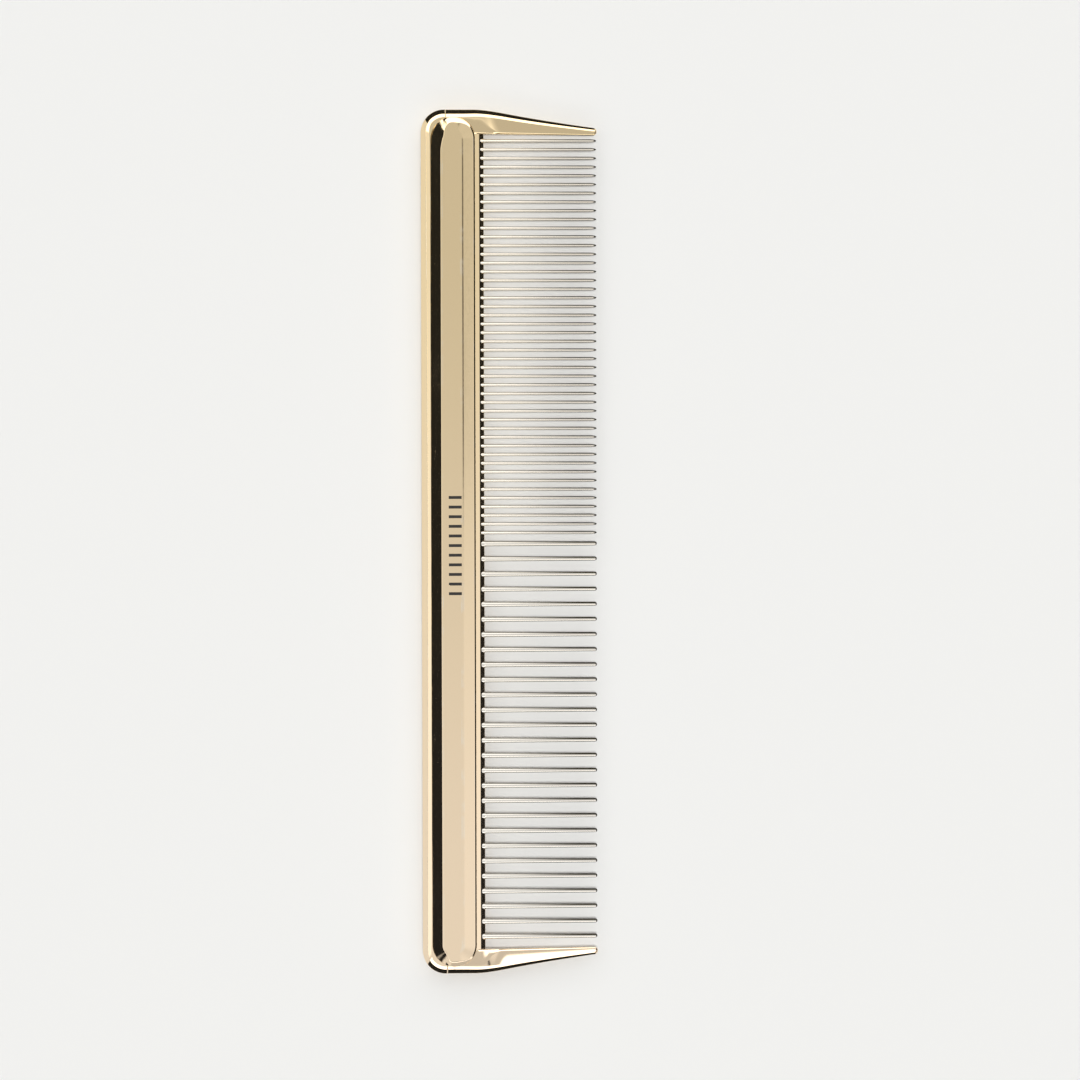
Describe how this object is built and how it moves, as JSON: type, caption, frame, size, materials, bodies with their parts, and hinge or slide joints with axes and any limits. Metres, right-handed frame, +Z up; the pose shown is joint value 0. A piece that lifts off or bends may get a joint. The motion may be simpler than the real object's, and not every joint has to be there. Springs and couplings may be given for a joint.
{
  "type": "grooming comb",
  "caption": "Rigid metal grooming comb: raised rib along the spine, round coarse and fine teeth on its two halves, tapered guards at both ends.",
  "frame": {"origin": "under the middle of the comb, on the surface that it lies on", "axes": "+X from the spine's back to the tooth tips, +Y along the comb towards the fine teeth, +Z up out of the comb's front side"},
  "size_m": [0.0366, 0.18, 0.006],
  "materials": {
    "plated_frame": "polished pale gold plating",
    "plated_cover": "polished pale gold plating",
    "plated_teeth": "polished pale gold plating, brighter where worn",
    "bare_steel": "plain ground steel, hidden"
  },
  "bodies": {
    "root": {"tooth_rail": "plated_frame", "back_bar": "plated_frame", "front_cover": "plated_cover", "rear_cover": "plated_cover", "coarse_pin_01": "plated_teeth", "coarse_pin_02": "plated_teeth", "coarse_pin_03": "plated_teeth", "coarse_pin_04": "plated_teeth", "coarse_pin_05": "plated_teeth", "coarse_pin_06": "plated_teeth", "coarse_pin_07": "plated_teeth", "coarse_pin_08": "plated_teeth", "coarse_pin_09": "plated_teeth", "coarse_pin_10": "plated_teeth", "coarse_pin_11": "plated_teeth", "coarse_pin_12": "plated_teeth", "coarse_pin_13": "plated_teeth", "coarse_pin_14": "plated_teeth", "coarse_pin_15": "plated_teeth", "coarse_pin_16": "plated_teeth", "coarse_pin_17": "plated_teeth", "coarse_pin_18": "plated_teeth", "coarse_pin_19": "plated_teeth", "coarse_pin_20": "plated_teeth", "coarse_pin_21": "plated_teeth", "coarse_pin_22": "plated_teeth", "coarse_pin_23": "plated_teeth", "coarse_pin_24": "plated_teeth", "coarse_pin_25": "plated_teeth", "coarse_pin_26": "plated_teeth", "coarse_pin_27": "plated_teeth", "fine_wire_01": "plated_teeth", "fine_wire_02": "plated_teeth", "fine_wire_03": "plated_teeth", "fine_wire_04": "plated_teeth", "fine_wire_05": "plated_teeth", "fine_wire_06": "plated_teeth", "fine_wire_07": "plated_teeth", "fine_wire_08": "plated_teeth", "fine_wire_09": "plated_teeth", "fine_wire_10": "plated_teeth", "fine_wire_11": "plated_teeth", "fine_wire_12": "plated_teeth", "fine_wire_13": "plated_teeth", "fine_wire_14": "plated_teeth", "fine_wire_15": "plated_teeth", "fine_wire_16": "plated_teeth", "fine_wire_17": "plated_teeth", "fine_wire_18": "plated_teeth", "fine_wire_19": "plated_teeth", "fine_wire_20": "plated_teeth", "fine_wire_21": "plated_teeth", "fine_wire_22": "plated_teeth", "fine_wire_23": "plated_teeth", "cover_dowel_01": "bare_steel", "cover_dowel_02": "bare_steel", "cover_dowel_03": "bare_steel", "cover_dowel_04": "bare_steel", "cover_dowel_05": "bare_steel"}
  },
  "joints": []
}
